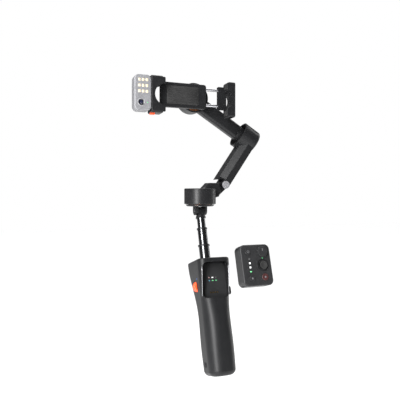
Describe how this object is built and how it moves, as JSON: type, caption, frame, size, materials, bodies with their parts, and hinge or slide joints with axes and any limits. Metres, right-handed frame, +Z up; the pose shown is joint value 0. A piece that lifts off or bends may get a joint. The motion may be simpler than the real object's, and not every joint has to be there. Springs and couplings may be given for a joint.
{
  "type": "phone gimbal",
  "caption": "Folding hand-held phone gimbal with a telescopic rod, phone clamp, clip-on tracking light and detachable remote.",
  "frame": {"origin": "mouth of the tripod thread under the handle", "axes": "+Z up along the pan axis, +X to the folding arm's side, -Y towards the phone's screen; the handle leans back 17 degrees about X"},
  "size_m": [0.1623, 0.1774, 0.3192],
  "materials": {
    "grip_black": "soft matte",
    "shell_black": "satin",
    "gloss_black": "polished",
    "rubber_black": "matte",
    "steel": "brushed",
    "dark_chrome": "polished",
    "brass": "turned",
    "gold": "plated",
    "copper_core": "wound",
    "board_green": "lacquered",
    "cell_blue": "sleeved",
    "orange": "satin",
    "silver_grey": "fine metallic",
    "warm_light": "diffusing",
    "lamp_clear": "diffusing",
    "lens_dark": "polished",
    "record_red": "satin"
  },
  "bodies": {
    "handle": {"front_shell": "grip_black", "rear_shell": "grip_black", "bottom_cap": "grip_black", "tripod_insert": "brass", "dock_panel": "gloss_black", "dock_contacts": "gold", "indicator_lights": "lamp_clear", "battery_cell": "cell_blue", "main_board": "board_green", "usb_socket": "steel", "rod_guide": "steel", "top_collar": "shell_black", "strap_bar": "shell_black", "wheel_axle": "steel"},
    "zoom_wheel": {"zoom_wheel": "orange"},
    "side_button": {"side_button": "shell_black"},
    "outer_tube": {"rod_outer": "dark_chrome", "rod_outer_ring": "shell_black"},
    "middle_tube": {"rod_middle": "dark_chrome", "rod_middle_ring": "shell_black"},
    "inner_tube": {"rod_inner": "dark_chrome", "neck_knuckle": "shell_black"},
    "pan_base": {"neck_fork": "shell_black", "neck_pin": "steel", "pan_stator": "copper_core", "pan_shaft": "steel"},
    "pan_arm": {"pan_housing": "shell_black", "pan_cover": "shell_black", "pan_bearing": "steel"},
    "fold_arm": {"arm_shell": "shell_black", "arm_cover": "shell_black", "fold_pin": "silver_grey", "tilt_housing": "shell_black", "tilt_stator": "copper_core"},
    "tilt_arm": {"tilt_arm": "shell_black", "tilt_rotor": "shell_black", "roll_housing": "shell_black", "roll_stator": "copper_core"},
    "clamp": {"clamp_body": "shell_black", "roll_shaft": "shell_black", "left_jaw": "shell_black", "left_jaw_pads": "rubber_black"},
    "sliding_jaw": {"right_jaw": "shell_black", "guide_rods": "steel", "right_jaw_pads": "rubber_black"},
    "release_tab": {"release_tab": "orange"},
    "tracker": {"tracker_case": "silver_grey", "tracker_face": "silver_grey", "tracker_lights": "warm_light", "tracker_lens": "lens_dark"},
    "remote": {"remote_case": "shell_black", "remote_face": "gloss_black", "remote_lights": "lamp_clear"},
    "mode_button": {"mode_button": "gloss_black"},
    "switch_button": {"switch_button": "gloss_black"},
    "record_button": {"record_button": "record_red"},
    "zoom_knob": {"zoom_knob": "gloss_black"},
    "joystick_cradle": {"joystick_cradle": "shell_black"},
    "joystick": {"joystick": "gloss_black"}
  },
  "joints": [
    {"name": "zoom_wheel_spin", "type": "hinge", "parent": "handle", "child": "zoom_wheel", "pos_m": [-0.0131, 0.02785, 0.08769], "axis": [0, -0.9563, 0.2924], "continuous": true},
    {"name": "side_button_press", "type": "slide", "parent": "handle", "child": "side_button", "axis": [-1, 0, 0], "range_m": [0, 0.0008], "stiffness_N_per_m": 400},
    {"name": "outer_tube_slide", "type": "slide", "parent": "handle", "child": "outer_tube", "axis": [0, 0.2924, 0.9563], "range_m": [-0.014, 0.048]},
    {"name": "middle_tube_slide", "type": "slide", "parent": "outer_tube", "child": "middle_tube", "axis": [0, 0.2924, 0.9563], "range_m": [-0.017, 0.048]},
    {"name": "inner_tube_slide", "type": "slide", "parent": "middle_tube", "child": "inner_tube", "axis": [0, 0.2924, 0.9563], "range_m": [-0.011, 0.048]},
    {"name": "neck_hinge", "type": "hinge", "parent": "inner_tube", "child": "pan_base", "pos_m": [0, 0.05874, 0.16818], "axis": [1, 0, 0], "range_deg": [-17, 45]},
    {"name": "pan_axis", "type": "hinge", "parent": "pan_base", "child": "pan_arm", "pos_m": [0, 0.05874, 0.18718], "axis": [0, 0, 1], "range_deg": [-160, 160]},
    {"name": "fold_hinge", "type": "hinge", "parent": "pan_arm", "child": "fold_arm", "pos_m": [0.034, 0.07274, 0.19798], "axis": [0, 1, 0], "range_deg": [0, 105]},
    {"name": "tilt_axis", "type": "hinge", "parent": "fold_arm", "child": "tilt_arm", "pos_m": [-0.004, 0.07674, 0.29818], "axis": [0.848, 0, -0.5299], "range_deg": [-60, 60]},
    {"name": "roll_axis", "type": "hinge", "parent": "tilt_arm", "child": "clamp", "pos_m": [-0.004, 0.07674, 0.29818], "axis": [0, 1, 0], "range_deg": [-95, 95]},
    {"name": "jaw_slide", "type": "slide", "parent": "clamp", "child": "sliding_jaw", "axis": [1, 0, 0], "range_m": [-0.0135, 0.012]},
    {"name": "release_tab_press", "type": "slide", "parent": "clamp", "child": "release_tab", "axis": [0, 0, 1], "range_m": [0, 0.001], "stiffness_N_per_m": 400},
    {"name": "tracker_pull", "type": "slide", "parent": "clamp", "child": "tracker", "axis": [-1, 0, 0], "range_m": [0, 0.03]},
    {"name": "remote_pull", "type": "slide", "parent": "handle", "child": "remote", "axis": [0, -0.9563, 0.2924], "range_m": [-0.092, 0.02]},
    {"name": "mode_button_press", "type": "slide", "parent": "remote", "child": "mode_button", "axis": [0, 0.9563, -0.2924], "range_m": [0, 0.0006], "stiffness_N_per_m": 400},
    {"name": "switch_button_press", "type": "slide", "parent": "remote", "child": "switch_button", "axis": [0, 0.9563, -0.2924], "range_m": [0, 0.0006], "stiffness_N_per_m": 400},
    {"name": "record_button_press", "type": "slide", "parent": "remote", "child": "record_button", "axis": [0, 0.9563, -0.2924], "range_m": [0, 0.0006], "stiffness_N_per_m": 400},
    {"name": "zoom_knob_turn", "type": "hinge", "parent": "remote", "child": "zoom_knob", "pos_m": [0.0061, -0.0765, 0.13627], "axis": [0, -0.9563, 0.2924], "continuous": true},
    {"name": "joystick_side", "type": "hinge", "parent": "remote", "child": "joystick_cradle", "pos_m": [0.0059, -0.07746, 0.12423], "axis": [0, 0.2924, 0.9563], "range_deg": [-12, 12], "stiffness_Nm_per_rad": 0.01},
    {"name": "joystick_up", "type": "hinge", "parent": "joystick_cradle", "child": "joystick", "pos_m": [0.0059, -0.07746, 0.12423], "axis": [1, 0, 0], "range_deg": [-12, 12], "stiffness_Nm_per_rad": 0.01}
  ]
}
